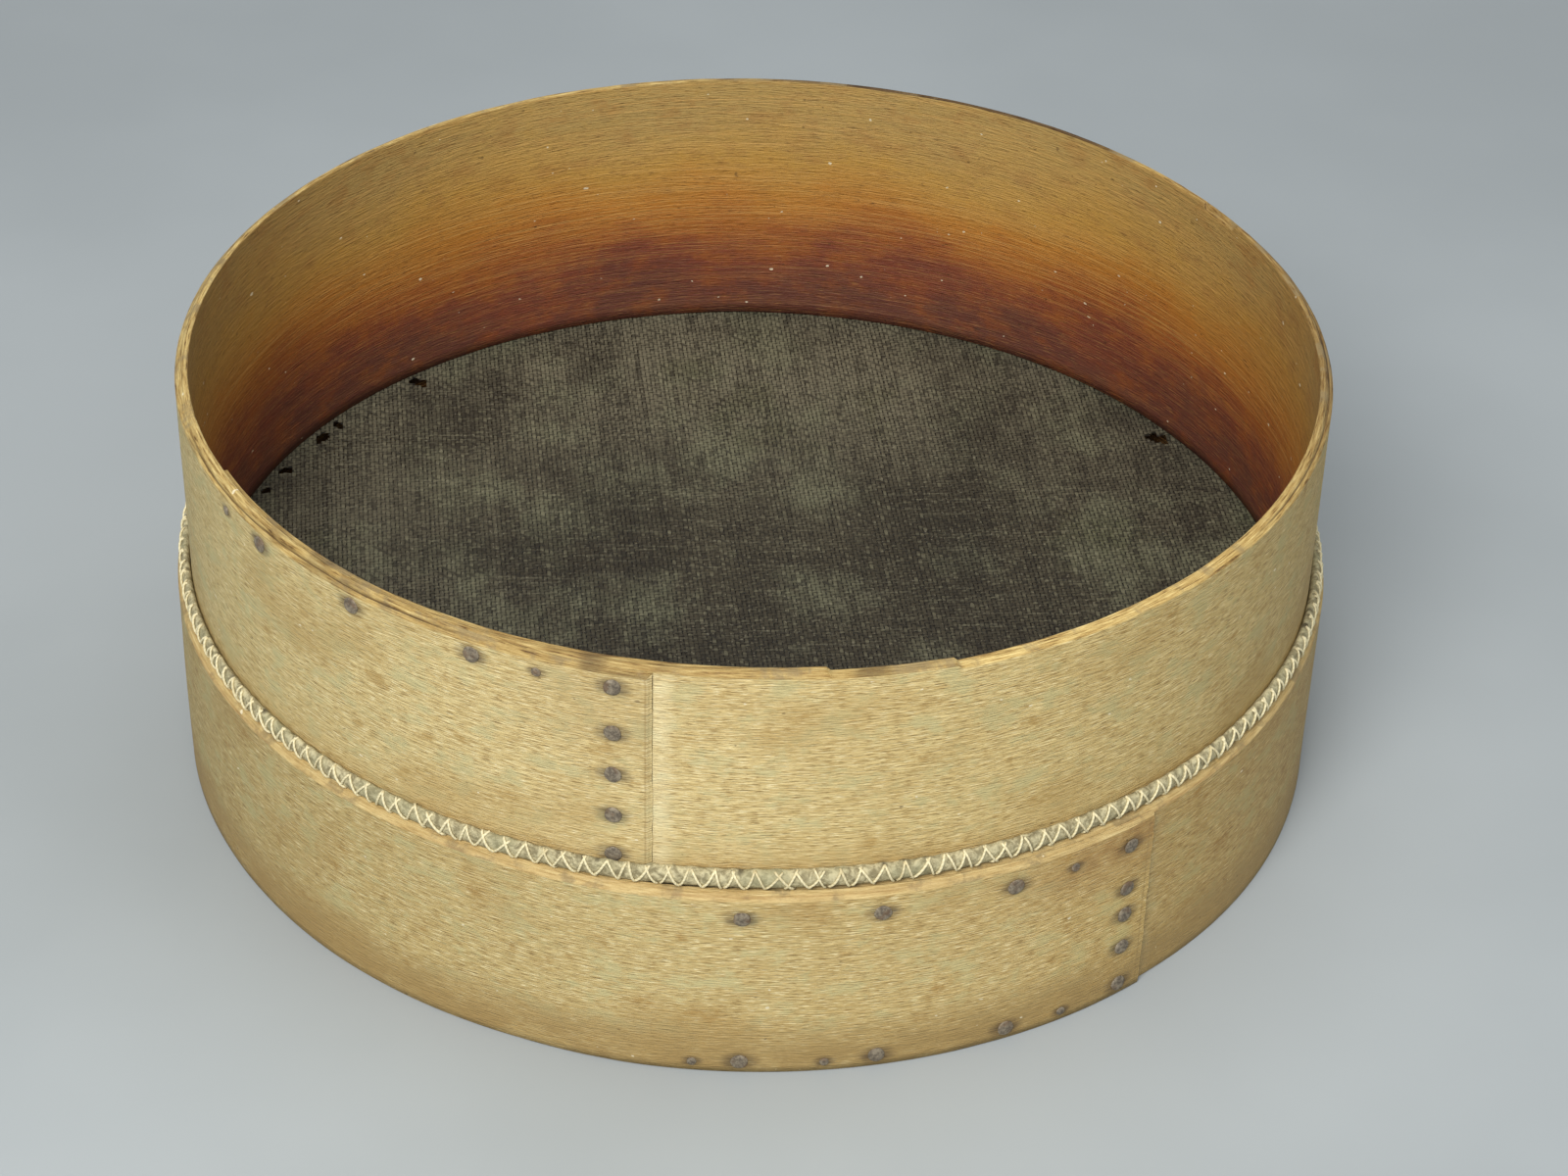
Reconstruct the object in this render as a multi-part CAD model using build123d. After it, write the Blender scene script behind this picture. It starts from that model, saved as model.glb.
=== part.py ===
from build123d import *
import math
import os

# A round bentwood hair sieve, in millimetres. Z is up, the origin is on the ground at the
# hoops' common axis, and -Y is the side with the nailed laps. Angles are degrees about +Z
# from +X, seen from above.

# ---- driving dimensions -------------------------------------------------------------------
UPPER_RADIUS = 200.0        # outside of the upper hoop
RIM_HEIGHT = 155.0          # top of the upper hoop
CLOTH_LEVEL = 49.4          # upper face of the sieve cloth, and lower edge of the upper hoop
LEDGE_HEIGHT = 74.0         # top of the lower hoop
BAND_THICKNESS = 4.5        # bent board of both hoops
CLOTH_THICKNESS = 0.8       # woven horsehair cloth, stretched flat
UPTURN_THICKNESS = 0.6      # the same cloth, squeezed between the hoops

# ---- laps of the two bent boards ------------------------------------------------------------
OUTER_END = 1.5             # thickness left at the skived outer end of a board
INNER_TIP = 1.0             # thickness left at the skived inner end
LAP_GAP = 0.1               # open joint between the two plies of a lap
UPPER_SEAM = -98.5          # where the outer end of the upper board stops
UPPER_LAP = 53.5            # length of that lap
UPPER_SETTLE = 60.0         # the board takes this long to come out to its full radius
LOWER_SEAM = -50.0
LOWER_LAP = 47.0
LOWER_SETTLE = 20.0         # the lower board climbs over its own inner tip in this arc
LOWER_BORE = UPPER_RADIUS + UPTURN_THICKNESS

# ---- worn edges -----------------------------------------------------------------------------
RIM_BEVEL = 3.0             # slope on the outside of the top rim
LEDGE_BEVEL = 1.9           # slope on the outside of the lower hoop's top edge

# ---- rolled hem of the cloth ------------------------------------------------------------------
HEM_HALF_HEIGHT = 3.6
HEM_HALF_DEPTH = 1.85
HEM_CORE_RADIUS = 1.2       # split cane inside the roll
HEM_CORE_GAP = 0.4          # degrees left open where the ends of the cane meet
HEM_DENT_CLEARANCE = 0.15   # round the nail head that presses into the roll
HEM_HEIGHT = LEDGE_HEIGHT + HEM_HALF_HEIGHT + 0.1
HEM_RADIUS = UPPER_RADIUS + HEM_HALF_DEPTH + 0.05

# ---- stitches over the hem --------------------------------------------------------------------
STITCH_COUNT = 188          # one V of thread each
THREAD_RADIUS = 0.5
THREAD_CLEARANCE = 0.05     # between thread and roll
STITCH_REACH = 50.0         # how far a leg goes round the roll's section, up and down
STITCH_BENDS = 4            # points along a leg
STITCH_BEND_RADIUS = 1.5
STITCH_END_GAP = 0.6        # from the point of a V to the end of its leg, along the hoop

# ---- clout nails ------------------------------------------------------------------------------
NAIL_HEAD = 5.8
NAIL_HEAD_THICKNESS = 0.9
NAIL_SHANK = 1.8
CLENCH_LENGTH = 4.5         # tip bent over and hammered flat on the inner face
CLENCH_WIDTH = 1.6
CLENCH_THICKNESS = 0.7
CLENCH_CLEARANCE = 0.02     # between a flat tip and the hollow side of the board
HEAD_CLEARANCE = 0.03       # between a flat head and the round side of the board
TACK_HEAD = 3.2
TACK_SHANK = 1.2
TACK_LENGTH = 4.0
HAMMERED_TOP = 0.6          # share of a head's width that is flat on top

UPPER_NAIL_PITCH = 13.3     # degrees between the upper hoop's nails
UPPER_NAIL_START = -102.0   # the column of nails beside the upper seam
UPPER_COLUMN = (82.0, 97.5, 113.5, 129.5, 147.0)
RIM_NAIL_HEIGHT = 147.5
RIM_NAIL_COUNT = 3
RIM_TACKS = (-109.0, -148.5)
LOWER_NAIL_PITCH = 12.5     # degrees between the lower hoop's nails
LOWER_NAIL_START = -52.7    # the column of nails beside the lower seam
LOWER_COLUMN = (5.0, 21.0, 35.0, 46.0, 64.0)
LEDGE_NAIL_HEIGHT = 65.0
LEDGE_NAIL_COUNT = 3
LEDGE_TACKS = (-59.0,)
FOOT_NAIL_HEIGHT = 4.8
FOOT_NAIL_COUNT = 3
FOOT_TACKS = (-59.3, -82.5, -94.5)
FOOT_TACK_HEIGHT = 4.0

SPIRAL_STEPS = 12           # points along each stretch whose radius changes


# ---- small tools --------------------------------------------------------------------------------
def polar(radius, angle):
    """The point at a radius and an angle about the hoops' axis."""
    return Vector(radius * math.cos(math.radians(angle)), radius * math.sin(math.radians(angle)), 0)


def ease(share):
    """From 0 to 1 with level ends."""
    return share * share * (3 - 2 * share)


def straight(share):
    return share


def spiral(start_radius, end_radius, start, end, shape=straight):
    """A curve about the axis whose radius goes from one value to another."""
    points = []
    for step in range(SPIRAL_STEPS + 1):
        share = step / SPIRAL_STEPS
        radius = start_radius + (end_radius - start_radius) * shape(share)
        points.append(polar(radius, start + (end - start) * share))
    return Spline(*points)


def round_arc(radius, start, end):
    return ThreePointArc(polar(radius, start), polar(radius, (start + end) / 2), polar(radius, end))


def end_face(radius_a, radius_b, angle):
    return Line(polar(radius_a, angle), polar(radius_b, angle))


def bevel_ring(inner_radius, top, slope):
    """What a 45 degree bevel takes off the outside of an edge at height top."""
    reach = 6 * slope
    profile = Polyline(
        (inner_radius, 0, top),
        (inner_radius + reach, 0, top - reach),
        (inner_radius + reach, 0, top + slope),
        (inner_radius, 0, top + slope),
        close=True,
    )
    return revolve(make_face(profile), Axis.Z)


def around(shape, angle, height=0):
    """Turn a shape built over +X to an angle, and lift it."""
    return Rot(0, 0, angle) * Pos(0, 0, height) * shape


# ---- radii of the laps, used by the boards and by their nails -------------------------------------
def upper_inner_radius(angle):
    """Inner face of the upper hoop inside its lap."""
    share = (UPPER_SEAM - angle) / UPPER_LAP
    at_seam = UPPER_RADIUS - OUTER_END - LAP_GAP - BAND_THICKNESS
    at_tip = UPPER_RADIUS - BAND_THICKNESS - LAP_GAP - INNER_TIP
    return at_seam + (at_tip - at_seam) * share


def settled_inner_radius(angle):
    """Inner face of the upper hoop to the right of its seam, where the board comes out."""
    share = (angle - UPPER_SEAM) / UPPER_SETTLE
    tucked = OUTER_END + LAP_GAP
    return UPPER_RADIUS - BAND_THICKNESS - tucked * (1 - ease(share))


def lower_outer_radius(angle):
    """Outer face of the lower hoop inside its lap."""
    share = (LOWER_SEAM - angle) / LOWER_LAP
    at_seam = LOWER_BORE + BAND_THICKNESS + LAP_GAP + OUTER_END
    at_tip = LOWER_BORE + INNER_TIP + LAP_GAP + BAND_THICKNESS
    return at_seam + (at_tip - at_seam) * share


# ---- the two bent boards ----------------------------------------------------------------------------
def upper_hoop_board():
    """One board bent round on itself: flush outside, with the lap's second ply inside."""
    tip = UPPER_SEAM - UPPER_LAP
    settled = UPPER_SEAM + UPPER_SETTLE
    outer_end = UPPER_SEAM + 360
    lap_start = tip + 360
    inside = UPPER_RADIUS - BAND_THICKNESS
    tucked = UPPER_RADIUS - OUTER_END - LAP_GAP
    edges = [
        round_arc(UPPER_RADIUS, outer_end, settled),
        spiral(UPPER_RADIUS, tucked, settled, UPPER_SEAM, ease),
        spiral(tucked, inside - LAP_GAP, UPPER_SEAM, tip),
        end_face(inside - LAP_GAP, inside - LAP_GAP - INNER_TIP, tip),
        spiral(inside - LAP_GAP - INNER_TIP, tucked - BAND_THICKNESS, tip, UPPER_SEAM),
        spiral(tucked - BAND_THICKNESS, inside, UPPER_SEAM, settled, ease),
        round_arc(inside, settled, lap_start),
        spiral(inside, UPPER_RADIUS - OUTER_END, lap_start, outer_end),
        end_face(UPPER_RADIUS - OUTER_END, UPPER_RADIUS, outer_end),
    ]
    section = make_face(Wire(edges))
    board = Pos(0, 0, CLOTH_LEVEL) * extrude(section, RIM_HEIGHT - CLOTH_LEVEL)
    return board - bevel_ring(UPPER_RADIUS - RIM_BEVEL, RIM_HEIGHT, RIM_BEVEL)


def lower_hoop_board():
    """One board bent round the cloth: flush inside, with the lap standing out."""
    tip = LOWER_SEAM - LOWER_LAP
    outer_end = LOWER_SEAM + 360
    lap_start = tip + 360
    climb = lap_start - LOWER_SETTLE
    outside = LOWER_BORE + BAND_THICKNESS
    raised = LOWER_BORE + INNER_TIP + LAP_GAP
    end_inside = outside + LAP_GAP
    edges = [
        round_arc(LOWER_BORE, tip, climb),
        spiral(LOWER_BORE, raised, climb, lap_start, ease),
        spiral(raised, end_inside, lap_start, outer_end),
        end_face(end_inside, end_inside + OUTER_END, outer_end),
        spiral(end_inside + OUTER_END, raised + BAND_THICKNESS, outer_end, lap_start),
        spiral(raised + BAND_THICKNESS, outside, lap_start, climb, ease),
        round_arc(outside, climb, LOWER_SEAM),
        spiral(outside, LOWER_BORE + INNER_TIP, LOWER_SEAM, tip),
        end_face(LOWER_BORE + INNER_TIP, LOWER_BORE, tip),
    ]
    board = extrude(make_face(Wire(edges)), LEDGE_HEIGHT)
    return board - bevel_ring(outside - LEDGE_BEVEL, LEDGE_HEIGHT, LEDGE_BEVEL)


# ---- cloth and hem --------------------------------------------------------------------------------
def sieve_cloth():
    """The flat round of woven cloth under the upper hoop's lower edge."""
    middle = CLOTH_LEVEL - CLOTH_THICKNESS / 2
    return Pos(0, 0, middle) * Cylinder(UPPER_RADIUS, CLOTH_THICKNESS)


def cloth_upturn():
    """The cloth's margin, turned up between the two hoops."""
    bottom = CLOTH_LEVEL - CLOTH_THICKNESS
    height = LEDGE_HEIGHT - bottom
    tube = Cylinder(LOWER_BORE, height) - Cylinder(UPPER_RADIUS, height)
    return Pos(0, 0, bottom + height / 2) * tube


def hem_section_plane():
    return Plane(origin=(HEM_RADIUS, 0, HEM_HEIGHT), x_dir=(1, 0, 0), z_dir=(0, -1, 0))


def hem_roll():
    """The cloth's edge, rolled over the cane."""
    section = Ellipse(HEM_HALF_DEPTH, HEM_HALF_HEIGHT) - Circle(HEM_CORE_RADIUS)
    roll = revolve(hem_section_plane() * section, Axis.Z)
    # the head of the lowest nail beside the upper seam presses into the top of the roll
    reach = NAIL_HEAD_THICKNESS + HEM_DENT_CLEARANCE
    dent = along_x(Cylinder(NAIL_HEAD / 2 + HEM_DENT_CLEARANCE, reach), UPPER_RADIUS, reach)
    return roll - around(dent, UPPER_NAIL_START, UPPER_COLUMN[0])


def hem_core():
    """A split cane bent round, whose ends nearly meet."""
    ring = revolve(hem_section_plane() * Circle(HEM_CORE_RADIUS), Axis.Z, 360 - HEM_CORE_GAP)
    return around(ring, LOWER_SEAM)


def stitch_leg(direction):
    """One leg of a V of thread, lying over the roll; direction is 1 rising right, -1 left."""
    pitch = 2 * math.pi * HEM_RADIUS / STITCH_COUNT
    travel = pitch / 2 - 2 * STITCH_END_GAP
    stand_off = THREAD_RADIUS + THREAD_CLEARANCE
    points = []
    for step in range(STITCH_BENDS):
        share = step / (STITCH_BENDS - 1)
        lean = math.radians(STITCH_REACH * (2 * share - 1))
        # a point on the roll's section, and the direction straight out of it
        out = Vector(math.cos(lean) / HEM_HALF_DEPTH, 0, math.sin(lean) / HEM_HALF_HEIGHT).normalized()
        radius = HEM_RADIUS + HEM_HALF_DEPTH * math.cos(lean) + stand_off * out.X
        height = HEM_HEIGHT + HEM_HALF_HEIGHT * math.sin(lean) + stand_off * out.Z
        along = math.degrees(direction * travel * (share - 0.5) / HEM_RADIUS)
        points.append(polar(radius + THREAD_RADIUS * math.cos(lean) / 2, along) + Vector(0, 0, height))
    path = FilletPolyline(*points, radius=STITCH_BEND_RADIUS)
    start = Plane(origin=path @ 0, z_dir=path % 0)
    return sweep(start * Circle(THREAD_RADIUS), path)


def hem_stitching():
    """Vs of thread all round the hem."""
    rising = stitch_leg(1)
    falling = stitch_leg(-1)
    step = 360 / STITCH_COUNT
    legs = []
    for number in range(STITCH_COUNT):
        legs.append(around(rising, number * step))
        legs.append(around(falling, (number + 0.5) * step))
    return legs


# ---- nails and tacks ------------------------------------------------------------------------------
def along_x(shape, start, length):
    """Lay a shape that is centred on Z along +X, from start outward."""
    return Pos(start + length / 2, 0, 0) * Rot(0, 90, 0) * shape


def headed_pin(surface, head_width, shank_width, depth):
    """A round head on the outer face, and a shank going in towards the axis."""
    seat = surface + HEAD_CLEARANCE
    length = depth + HEAD_CLEARANCE
    head = Cone(head_width / 2, head_width / 2 * HAMMERED_TOP, NAIL_HEAD_THICKNESS)
    shank = Cylinder(shank_width / 2, length)
    return along_x(head, seat, NAIL_HEAD_THICKNESS) + along_x(shank, seat - length, length)


def clenched_nail(surface, inside):
    """A nail right through the wood, whose tip is bent down flat on the inner face."""
    face = inside - CLENCH_CLEARANCE
    depth = surface - face + CLENCH_THICKNESS
    clench = Box(CLENCH_THICKNESS, CLENCH_WIDTH, CLENCH_LENGTH)
    drop = CLENCH_LENGTH / 2 - NAIL_SHANK / 2
    return headed_pin(surface, NAIL_HEAD, NAIL_SHANK, depth) + (
        Pos(face - CLENCH_THICKNESS / 2, 0, -drop) * clench
    )


def tack(surface):
    return headed_pin(surface, TACK_HEAD, TACK_SHANK, TACK_LENGTH)


def hole(shank_width, surface, depth):
    """The hole that a shank fills, cut from well outside to a given depth."""
    clear = 5.0
    return along_x(Cylinder(shank_width / 2, depth + clear), surface - depth, depth + clear)


class Fixings:
    """Nails or tacks of one place: their solids, and the holes that they need."""

    def __init__(self):
        self.pins = []
        self.holes = []

    def add_nail(self, angle, height, surface, inside):
        self.pins.append(around(clenched_nail(surface, inside), angle, height))
        through = surface - inside + 2 * CLENCH_THICKNESS
        self.holes.append(around(hole(NAIL_SHANK, surface, through), angle, height))

    def add_tack(self, angle, height, surface):
        self.pins.append(around(tack(surface), angle, height))
        self.holes.append(around(hole(TACK_SHANK, surface, TACK_LENGTH), angle, height))


def upper_fixings():
    column = Fixings()
    for height in UPPER_COLUMN:
        column.add_nail(UPPER_NAIL_START, height, UPPER_RADIUS, upper_inner_radius(UPPER_NAIL_START))
    rim = Fixings()
    for number in range(1, RIM_NAIL_COUNT + 1):
        angle = UPPER_NAIL_START - number * UPPER_NAIL_PITCH
        rim.add_nail(angle, RIM_NAIL_HEIGHT, UPPER_RADIUS, upper_inner_radius(angle))
    tacks = Fixings()
    for angle in RIM_TACKS:
        tacks.add_tack(angle, RIM_NAIL_HEIGHT, UPPER_RADIUS)
    return {"upper_lap_nails": column, "upper_rim_nails": rim, "upper_rim_tacks": tacks}


def lower_fixings():
    """The high nails go on through the cloth and the upper hoop, the low ones do not."""
    column = Fixings()
    for height in LOWER_COLUMN:
        through_both = height > CLOTH_LEVEL
        inside = settled_inner_radius(LOWER_NAIL_START) if through_both else LOWER_BORE
        column.add_nail(LOWER_NAIL_START, height, lower_outer_radius(LOWER_NAIL_START), inside)
    ledge = Fixings()
    foot = Fixings()
    for number in range(1, LEDGE_NAIL_COUNT + 1):
        angle = LOWER_NAIL_START - number * LOWER_NAIL_PITCH
        ledge.add_nail(angle, LEDGE_NAIL_HEIGHT, lower_outer_radius(angle), settled_inner_radius(angle))
    for number in range(1, FOOT_NAIL_COUNT + 1):
        angle = LOWER_NAIL_START - number * LOWER_NAIL_PITCH
        foot.add_nail(angle, FOOT_NAIL_HEIGHT, lower_outer_radius(angle), LOWER_BORE)
    ledge_tacks = Fixings()
    for angle in LEDGE_TACKS:
        ledge_tacks.add_tack(angle, LEDGE_NAIL_HEIGHT, lower_outer_radius(angle))
    foot_tacks = Fixings()
    for angle in FOOT_TACKS:
        foot_tacks.add_tack(angle, FOOT_TACK_HEIGHT, lower_outer_radius(angle))
    return {
        "lower_lap_nails": column,
        "ledge_nails": ledge,
        "ledge_tacks": ledge_tacks,
        "foot_nails": foot,
        "foot_tacks": foot_tacks,
    }


# ---- put the sieve together ---------------------------------------------------------------------------
def drilled(shape, fixings):
    """A piece with the holes of every nail and tack that reaches it."""
    for group in fixings.values():
        for cutter in group.holes:
            shape = shape - cutter
    return shape


def build():
    upper = upper_fixings()
    lower = lower_fixings()
    both = {**upper, **lower}
    nodes = {
        "upper_hoop": [drilled(upper_hoop_board(), both)],
        "lower_hoop": [drilled(lower_hoop_board(), lower)],
        "sieve_cloth": [sieve_cloth()],
        "cloth_upturn": [drilled(cloth_upturn(), lower)],
        "hem_core": [hem_core()],
        "hem_roll": [hem_roll()],
        "hem_stitching": hem_stitching(),
    }
    for name, group in both.items():
        nodes[name] = group.pins
    return nodes


os.makedirs("parts", exist_ok=True)
for node_name, solids in build().items():
    part = solids[0] if len(solids) == 1 else Compound(children=solids)
    part.label = node_name
    export_step(part, f"parts/{node_name}.step")
    print(node_name, len(solids))
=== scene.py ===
import math
import bpy
import numpy as np
from mathutils import Matrix, Vector, noise


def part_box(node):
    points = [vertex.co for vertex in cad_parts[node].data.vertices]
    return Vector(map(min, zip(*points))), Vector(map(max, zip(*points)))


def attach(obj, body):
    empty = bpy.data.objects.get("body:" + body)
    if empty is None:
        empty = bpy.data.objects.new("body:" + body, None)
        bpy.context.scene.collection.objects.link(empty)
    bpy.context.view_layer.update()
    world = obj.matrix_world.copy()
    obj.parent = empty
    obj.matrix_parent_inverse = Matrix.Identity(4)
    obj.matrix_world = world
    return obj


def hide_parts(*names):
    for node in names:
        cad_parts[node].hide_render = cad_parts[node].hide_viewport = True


# The looks of an old bentwood hair sieve. Everything is in metres, in the CAD model's frame:
# Z is up along the hoops' axis, and -Y is the side with the nailed laps.
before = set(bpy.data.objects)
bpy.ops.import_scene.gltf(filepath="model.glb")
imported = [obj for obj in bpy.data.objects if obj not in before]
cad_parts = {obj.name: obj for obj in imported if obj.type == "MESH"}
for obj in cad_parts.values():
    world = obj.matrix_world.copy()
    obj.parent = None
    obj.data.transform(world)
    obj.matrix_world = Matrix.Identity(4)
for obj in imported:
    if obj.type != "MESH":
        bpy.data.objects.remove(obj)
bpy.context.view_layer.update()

MM = 0.001
RNG = np.random.default_rng(7)

# ---- the sieve's main sizes, from the frame --------------------------------------------------
UPPER_LOW, UPPER_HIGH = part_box("upper_hoop")
LOWER_LOW, LOWER_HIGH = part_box("lower_hoop")
_, UPTURN_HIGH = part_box("cloth_upturn")
CLOTH_LOW, CLOTH_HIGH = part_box("sieve_cloth")
HEM_LOW, HEM_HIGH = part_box("hem_roll")

UPPER_RADIUS = UPPER_HIGH.x
RIM_HEIGHT = UPPER_HIGH.z
CLOTH_LEVEL = UPPER_LOW.z
LEDGE_HEIGHT = LOWER_HIGH.z
LOWER_BORE = UPTURN_HIGH.x
LOWER_RADIUS = LOWER_HIGH.x
BOARD = LOWER_RADIUS - LOWER_BORE
HEM_HEIGHT = (HEM_LOW.z + HEM_HIGH.z) / 2
HEM_HALF_HEIGHT = (HEM_HIGH.z - HEM_LOW.z) / 2

# ---- the laps, as the boards were made; angles are in degrees --------------------------------
# each board thins to OUTER_END where it ends on the outside and to INNER_TIP inside
OUTER_END = 1.5 * MM
INNER_TIP = 1.0 * MM
LAP_GAP = 0.1 * MM
UPPER_SEAM = -98.5
UPPER_LAP = 53.5
# how far from its seam the board takes to settle on the round
UPPER_SETTLE = 60.0
LOWER_SEAM = -50.0
LOWER_LAP = 47.0
LOWER_SETTLE = 20.0

# the worn edges of the boards
RIM_BEVEL = 3.0 * MM
LEDGE_SLOPE = 3.0 * MM
LEDGE_DROP = 2.0 * MM


# ---- numbers ---------------------------------------------------------------------------------
def ease(share):
    """0 to 1 with a soft start and a soft end."""
    share = np.clip(share, 0.0, 1.0)
    return share * share * (3 - 2 * share)


def window(value, low, high, soft):
    """1 between low and high, falling to 0 over soft on each side."""
    return ease((value - low) / soft + 1) * ease((high - value) / soft + 1)


def field(points, scale, seed, octaves=2):
    """Smooth noise from -1 to 1 at each point, scale in cycles per metre."""
    shift = Vector((seed * 17.3, seed * 5.1, seed * 9.7))
    found = [noise.fractal(Vector(p) * scale + shift, 1.0, 2.0, octaves) for p in points]
    return np.array(found)


def ring_noise(degrees, waves, seed):
    """Smooth noise round the sieve that closes on itself, from about -1 to 1."""
    turns = np.radians(degrees)
    points = np.stack([np.cos(turns), np.sin(turns), 0 * turns], -1)
    return field(points, waves / (2 * math.pi), seed)


# ---- meshes ----------------------------------------------------------------------------------
def mesh_piece(name, vertices, faces, material, smooth=True, attributes=None):
    """An object made of a mesh, with a material and with named values at its points."""
    mesh = bpy.data.meshes.new(name)
    mesh.from_pydata(np.asarray(vertices).tolist(), [], faces)
    mesh.validate()
    mesh.update()
    if smooth:
        mesh.shade_smooth()
    else:
        mesh.shade_flat()
    for label, values in (attributes or {}).items():
        values = np.asarray(values, dtype=np.float32)
        kind = "FLOAT_VECTOR" if values.ndim == 2 else "FLOAT"
        layer = mesh.attributes.new(label, kind, "POINT")
        layer.data.foreach_set("vector" if values.ndim == 2 else "value", values.ravel())
    mesh.materials.append(material)
    piece = bpy.data.objects.new(name, mesh)
    bpy.context.scene.collection.objects.link(piece)
    return piece


def ring_faces(stations, around, closed_length=False):
    """Quads of a tube with a given number of stations and points around."""
    faces = []
    last = stations if closed_length else stations - 1
    for station in range(last):
        here = station * around
        there = ((station + 1) % stations) * around
        for k in range(around):
            nxt = (k + 1) % around
            faces.append((here + k, here + nxt, there + nxt, there + k))
    return faces


# ---- shader building -------------------------------------------------------------------------
class Shader:
    """A small helper that writes a node material."""

    def __init__(self, name):
        self.material = bpy.data.materials.new(name)
        self.material.use_nodes = True
        self.tree = self.material.node_tree
        self.surface = self.tree.nodes["Principled BSDF"]

    def node(self, kind, inputs=None, **settings):
        made = self.tree.nodes.new(kind)
        for key, value in settings.items():
            setattr(made, key, value)
        for key, value in (inputs or {}).items():
            self.feed(made.inputs[key], value)
        return made

    def feed(self, socket, value):
        if isinstance(value, bpy.types.NodeSocket):
            self.tree.links.new(value, socket)
        else:
            socket.default_value = value

    def math(self, operation, a, b=0.0, clamp=False):
        made = self.node("ShaderNodeMath", {0: a, 1: b}, operation=operation, use_clamp=clamp)
        return made.outputs[0]

    def vector(self, operation, a, b):
        return self.node("ShaderNodeVectorMath", {0: a, 1: b}, operation=operation).outputs[0]

    def attribute(self, name):
        return self.node("ShaderNodeAttribute", attribute_name=name)

    def noise(self, vector, scale=1.0, detail=2.0, roughness=0.5, distortion=0.0):
        settings = {"Vector": vector, "Scale": scale, "Detail": detail}
        settings.update({"Roughness": roughness, "Distortion": distortion})
        return self.node("ShaderNodeTexNoise", settings).outputs["Fac"]

    def remap(self, value, low, high, new_low=0.0, new_high=1.0):
        made = self.node(
            "ShaderNodeMapRange",
            {
                "Value": value, "From Min": low, "From Max": high,
                "To Min": new_low, "To Max": new_high,
            },
            interpolation_type="SMOOTHSTEP",
        )
        return made.outputs["Result"]

    def mix(self, factor, a, b, blend="MIX"):
        made = self.node("ShaderNodeMix", data_type="RGBA", blend_type=blend, clamp_factor=True)
        self.feed(made.inputs[0], factor)
        self.feed(made.inputs[6], a)
        self.feed(made.inputs[7], b)
        return made.outputs[2]

    def ramp(self, factor, stops):
        made = self.node("ShaderNodeValToRGB", {"Fac": factor})
        elements = made.color_ramp.elements
        while len(elements) < len(stops):
            elements.new(0.5)
        for element, (place, colour) in zip(elements, stops):
            element.position = place
            element.color = colour
        return made.outputs["Color"]

    def bump(self, height, distance, strength=1.0):
        settings = {"Height": height, "Distance": distance, "Strength": strength}
        return self.node("ShaderNodeBump", settings).outputs["Normal"]

    def finish(self, colour, roughness, normal=None, specular=0.3):
        self.feed(self.surface.inputs["Base Color"], colour)
        self.feed(self.surface.inputs["Roughness"], roughness)
        self.surface.inputs["Specular IOR Level"].default_value = specular
        if normal is not None:
            self.feed(self.surface.inputs["Normal"], normal)
        return self.material


def paint(red, green, blue):
    """A colour as it looks on a screen, 0 to 255, as the linear colour that shaders take."""
    linear = []
    for channel in (red, green, blue):
        level = channel / 255
        linear.append(level / 12.92 if level <= 0.04045 else ((level + 0.055) / 1.055) ** 2.4)
    return (*linear, 1.0)


# ---- where the nails are, from the frame -----------------------------------------------------
HEAD_SHELL = 1.2 * MM


def nails_of(node):
    """Each nail of a node: its angle and height, its outermost and innermost distance from the
    axis, and its head's radius."""
    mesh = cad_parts[node].data
    points = np.empty(len(mesh.vertices) * 3)
    mesh.vertices.foreach_get("co", points)
    points = points.reshape(-1, 3)
    # the vertices that edges join, directly or through others, are one nail
    places = {}
    parent = [places.setdefault(tuple(np.round(point, 6)), index) for index, point in enumerate(points)]

    def root(index):
        while parent[index] != index:
            parent[index] = parent[parent[index]]
            index = parent[index]
        return index

    for edge in mesh.edges:
        a, b = root(edge.vertices[0]), root(edge.vertices[1])
        if a != b:
            parent[a] = b
    groups = {}
    for index in range(len(points)):
        groups.setdefault(root(index), []).append(index)
    found = []
    for members in groups.values():
        cloud = points[members]
        radii = np.hypot(cloud[:, 0], cloud[:, 1])
        outer = cloud[radii > radii.max() - HEAD_SHELL]
        centre = (outer.max(0) + outer.min(0)) / 2
        found.append({
            "angle": math.degrees(math.atan2(centre[1], centre[0])),
            "height": centre[2],
            "top": radii.max(),
            "head": (outer[:, 2].max() - outer[:, 2].min()) / 2,
            "inner": radii.min(),
        })
    return found


NAIL_NODES = (
    "upper_lap_nails", "upper_rim_nails", "upper_rim_tacks", "lower_lap_nails",
    "ledge_nails", "ledge_tacks", "foot_nails", "foot_tacks",
)
NAILS = {node: nails_of(node) for node in NAIL_NODES}


# ---- bent boards -----------------------------------------------------------------------------
OUTER_ROWS = 26
RIM_POINTS = 16
INNER_ROWS = 22
FOOT_POINTS = 5
STATION_STEP = 0.42
# the last row of a side, as a share of the height, keeps the edge's shading crisp
BELOW_EDGE = 0.993
# the outer end's last half degree, which is rubbed down over its last 85 percent
END_SLOPE = 0.55
RUBBED_SHARE = 0.85
RUBBED_DEPTH = 0.8
END_STATIONS = np.array([RUBBED_SHARE, 0.7, 0.55, 0.42, 0.3, 0.2, 0.1, 0.0])
# how far the bent board wanders from a true round, and how ragged its sawn end is (degrees)
WANDER = 0.35 * MM
RAGGED_END = 0.16


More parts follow.
